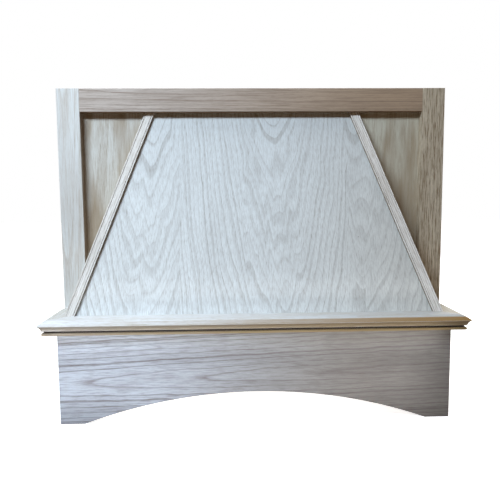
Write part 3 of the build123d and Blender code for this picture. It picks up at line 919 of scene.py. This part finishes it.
class HOOD_OT_box_sides(bpy.types.Operator):
    """Sheet sides of the box behind the face frame"""

    bl_idname = "hood.box_sides"
    bl_label = "Box sides"

    def execute(self, context):
        for side, out, seed in (("left", -ALONG_X, 121), ("right", ALONG_X, 126)):
            oak_board(
                f"{side}_side_panel", "oak_veneer_sheet", f"{side}_side_veneer", UP, out, seed,
                context.scene.hood_sizes.sheet_arris,
                pale=tone(222, 216, 202), line=tone(172, 154, 128), pores=0.25,
                centre=0.02, depth=0.11, rise=0.16, ring=0.008, zigzag=0.003, plies=(SIDE_SHEET, 7),
            )
        return {"FINISHED"}


class HOOD_OT_hidden_timber(bpy.types.Operator):
    """Rails, cleats, nailers and corner blocks"""

    bl_idname = "hood.hidden_timber"
    bl_label = "Hidden timber"

    def execute(self, context):
        level = ("upper_hanging_rail", "lower_hanging_rail", "chimney_top_cleat")
        front = ("front_foot_cleat", "front_ledge_cleat", "front_liner_rail")
        grains = dict.fromkeys((*level, *front), (ALONG_X, FRONT))
        grains["front_foot_cleat"] = (ALONG_X, UP)
        for side, edge in (("left", mirrored(EDGE_LEVEL)), ("right", EDGE_LEVEL)):
            grains[f"{side}_foot_cleat"] = (ALONG_Y, UP)
            grains[f"{side}_infill_nailer"] = (edge, FRONT)
            grains[f"{side}_ledge_cleat"] = (ALONG_Y, UP)
            grains[f"{side}_corner_block"] = (UP, FRONT)
            grains[f"{side}_liner_rail"] = (ALONG_Y, ALONG_X)
        for seed, (node, (along, out)) in enumerate(grains.items()):
            wood = timber_material(
                f"{node}_timber", middle(node), along, out, 140 + 7 * seed,
                centre=0.03 * math.sin(seed * 2.3), depth=0.05 + 0.02 * math.sin(seed),
            )
            sanded_board(node, "frame_timber", wood)
        return {"FINISHED"}


class HOOD_OT_screws(bpy.types.Operator):
    """Pocket screws of the face frame and the screws that hold the ledge"""

    bl_idname = "hood.screws"
    bl_label = "Screws"

    def solids(self, node):
        """Vertices of each separate solid of a CAD node."""
        shape = cad_shape(node)
        left = set(shape.verts)
        groups = []
        while left:
            queue = [left.pop()]
            group = []
            while queue:
                vertex = queue.pop()
                group.append(vertex.co.copy())
                for edge in vertex.link_edges:
                    other = edge.other_vert(vertex)
                    if other in left:
                        left.remove(other)
                        queue.append(other)
            groups.append(np.array(group))
        shape.free()
        return groups

    def drives(self, node):
        """Middle of each screw's head and the direction of its point."""
        found = []
        for points in self.solids(node):
            centre = points.mean(0)
            axis = np.linalg.svd(points - centre)[2][0]
            places = (points - centre) @ axis
            spread = np.linalg.norm(points - centre - np.outer(places, axis), axis=1)
            if places[spread.argmax()] > 0:
                axis, places = -axis, -places
            found.append((Vector(centre + axis * places.min()), Vector(axis)))
        return sorted(found, key=lambda pair: tuple(round(c, 4) for c in pair[0]))

    def screw(self, name, head):
        """Square-drive screw that points up Z from its head, whose outline is (radius, height) pairs."""
        root, crest, pitch, tip = 0.0014, 0.0019, 0.0016, 0.0316
        recess, recess_depth, plain_shank, point = 0.0013, 0.0016, 0.004, 0.004
        around, steps_a_turn = 24, 6
        recess_loops = ((0.0002, recess_depth), (recess, recess_depth), (recess, 0.0))
        loops = [(*loop, "square") for loop in recess_loops]
        loops += [(*loop, "round") for loop in head]
        thread_start = head[-1][1] + plain_shank
        steps = int((tip - point - thread_start) / pitch) * steps_a_turn
        loops += [(root, thread_start + pitch * step / steps_a_turn, "thread") for step in range(steps + 1)]
        loops += [(root * 0.15, tip, "round")]
        shape = bmesh.new()
        rings = []
        for radius, height, kind in loops:
            ring = []
            for step in range(around):
                angle = math.tau * step / around
                reach = radius
                if kind == "square":
                    reach = radius / max(abs(math.cos(angle)), abs(math.sin(angle)))
                if kind == "thread":
                    phase = (height / pitch - step / around) % 1
                    reach = radius + (crest - root) * max(0, 1 - 4 * abs(phase - 0.5))
                ring.append(shape.verts.new((reach * math.cos(angle), reach * math.sin(angle), height)))
            rings.append(ring)
        for lower, upper in zip(rings, rings[1:]):
            for step in range(around):
                after = (step + 1) % around
                shape.faces.new((lower[step], lower[after], upper[after], upper[step]))
        shape.faces.new(rings[0])
        shape.faces.new(rings[-1])
        bmesh.ops.recalc_face_normals(shape, faces=shape.faces)
        return link(name, as_mesh(shape, name))

    def drive_in(self, node, fastener, steel):
        drives = self.drives(node)
        mesh = bpy.data.meshes.new(node)
        mesh.from_pydata([place for place, _ in drives], [], [])
        drive = mesh.attributes.new("drive", "FLOAT_VECTOR", "POINT")
        for item, (_, direction) in zip(drive.data, drives):
            item.vector = direction
        values = {"Fastener": fastener, "Material": steel}
        piece = grow(f"{node}_driven", mesh, tree_named("driven_set", driven_set_tree), values)
        bpy.data.objects.remove(fastener)
        fit(piece, "screw_steel", node)

    def execute(self, context):
        steel = steel_material("zinc_plate", 201)
        pan_head = [(0.0038, 0.0), (0.0042, 0.0005), (0.0042, 0.0023), (0.0019, 0.0024), (0.0019, 0.005)]
        sunk_head = [(0.0040, 0.0), (0.0041, 0.0002), (0.0019, 0.0026), (0.0019, 0.006)]
        self.drive_in("pocket_screws", self.screw("pocket_screw", pan_head), steel)
        self.drive_in("ledge_screws", self.screw("ledge_screw", sunk_head), steel)
        return {"FINISHED"}


class HOOD_OT_stage(bpy.types.Operator):
    """Pale floor, room light, softboxes and the camera"""

    bl_idname = "hood.stage"
    bl_label = "Studio"

    def floor(self, colours, glow):
        """Disc that glows a little of its own, so that the shadows on it stay light."""
        finish = Finish("pale_floor")
        place = finish.node("ShaderNodeTexCoord", output="Object")
        cloud = finish.noise(place, (0.7, 0.7, 0.7), 301, 2.0)
        base = finish.tint(tuple(colours.floor), cloud * 0.1, tone(236, 236, 238))
        light_table = {"Emission_Color": (1, 1, 1, 1), "Emission_Strength": glow}
        surface = finish.close(base, 0.8, Specular_IOR_Level=0.1, **light_table)
        shape = bmesh.new()
        bmesh.ops.create_circle(shape, cap_ends=True, radius=9.0, segments=96)
        mesh = as_mesh(shape, "floor")
        mesh.materials.append(surface)
        floor = link("floor", mesh)
        floor.visible_diffuse = False

    def softbox(self, name, place, target, size, power, tint, spread=180):
        """Rectangle of light at place that shines towards target, in a beam spread degrees wide."""
        light = bpy.data.lights.new(name, "AREA")
        light.shape = "RECTANGLE"
        light.size, light.size_y = size
        light.energy = power
        light.color = tint
        light.spread = math.radians(spread)
        lamp = link(name, light)
        lamp.location = place
        lamp.rotation_euler = (Vector(target) - Vector(place)).to_track_quat("-Z", "Y").to_euler()
        lamp.visible_camera = False

    def room(self, setting):
        """White to the eye, and a soft even light on the object."""
        room = Finish("room", "worlds")
        warm = {"Color": with_alpha(tone(255, 190, 110)), "Strength": setting.ambient}
        lit = room.node("ShaderNodeBackground", warm)
        seen = room.node("ShaderNodeBackground", {"Color": (1, 1, 1, 1)})
        eye = room.node("ShaderNodeLightPath", output="Is Camera Ray")
        mixed = room.node("ShaderNodeMixShader", {0: eye, 1: lit, 2: seen})
        room.node("ShaderNodeOutputWorld", {"Surface": mixed})
        bpy.context.scene.world = room.data

    def camera(self, setting):
        """Camera at the photograph's place, turned a little down and to the right."""
        place = (-0.041186, -1.15682, 0.418264)
        yaw, pitch, roll = -0.0317, -0.0979, 0.0076
        data = bpy.data.cameras.new("camera")
        data.lens = setting.lens
        data.sensor_width = 36
        turn = Matrix.Rotation(yaw, 4, "Z") @ Matrix.Rotation(math.pi / 2 + pitch, 4, "X")
        camera = link("camera", data)
        camera.matrix_world = Matrix.Translation(place) @ (turn @ Matrix.Rotation(-roll, 4, "Z"))
        bpy.context.scene.camera = camera

    def execute(self, context):
        setting = context.scene.hood_studio
        self.floor(context.scene.hood_colours, setting.floor_glow)
        self.room(setting)
        white, cool = (1, 1, 1), tone(229, 243, 255)
        key, apron, back = setting.key_power, setting.apron_power, setting.back_power
        for softbox in (
            ("key", (-0.76, -1.12, 1.29), (0, -0.1, 0.35), (0.75, 0.13), key, cool),
            ("apron", (-0.03, -0.75, 0.05), (-0.03, 0, 0.06), (0.7, 0.06), 0.1 * apron, white, 30),
            ("apron_left", (-0.38, -0.75, 0.05), (-0.38, 0, 0.06), (0.4, 0.06), 0.15 * apron, cool, 30),
            (
                "apron_ledge", (-0.05, -0.4, 0.02), (-0.05, -0.187, 0.166), (0.8, 0.02),
                0.22 * apron, white, 20,
            ),
            ("apron_floor", (-0.05, -0.45, 0.01), (-0.05, -0.2, 0.085), (0.8, 0.1), 0.7 * apron, white, 52),
            ("back", (1.0, 2.2, 1.3), (0, 0.2, 0.3), (1.0, 1.0), back, white),
            ("right", (1.5, 0.7, 0.5), (0.3, 0.1, 0.3), (0.6, 0.6), 0.5 * back, white),
        ):
            self.softbox(*softbox)
        sun = bpy.data.lights.new("overhead", "SUN")
        sun.energy = setting.top_strength
        sun.angle = math.radians(50)
        link("overhead", sun)
        self.camera(setting)
        context.scene.view_settings.view_transform = "Standard"
        return {"FINISHED"}


PIECES = (
    HOOD_OT_face_frame, HOOD_OT_infill_panels, HOOD_OT_sloped_panel, HOOD_OT_edge_strips, HOOD_OT_ledge,
    HOOD_OT_band, HOOD_OT_box_sides, HOOD_OT_hidden_timber, HOOD_OT_screws, HOOD_OT_stage,
)


class HOOD_PT_sidebar(bpy.types.Panel):
    """Buttons for every group of pieces"""

    bl_idname = "HOOD_PT_sidebar"
    bl_label = "Hood cover"
    bl_space_type = "VIEW_3D"
    bl_region_type = "UI"
    bl_category = "Hood cover"

    def draw(self, context):
        for piece in PIECES:
            self.layout.operator(piece.bl_idname)


GROUPS = {"hood_sizes": HoodSizes, "hood_colours": HoodColours, "hood_studio": StudioSetting}


def register():
    for kind in (*GROUPS.values(), *PIECES, HOOD_PT_sidebar):
        bpy.utils.register_class(kind)
    for name, group in GROUPS.items():
        setattr(bpy.types.Scene, name, PointerProperty(type=group))


def unregister():
    for name in GROUPS:
        delattr(bpy.types.Scene, name)
    for kind in (HOOD_PT_sidebar, *reversed(PIECES), *reversed(GROUPS.values())):
        bpy.utils.unregister_class(kind)


def main():
    register()
    for piece in PIECES:
        family, name = piece.bl_idname.split(".")
        getattr(getattr(bpy.ops, family), name)()


if __name__ == "__main__":
    main()
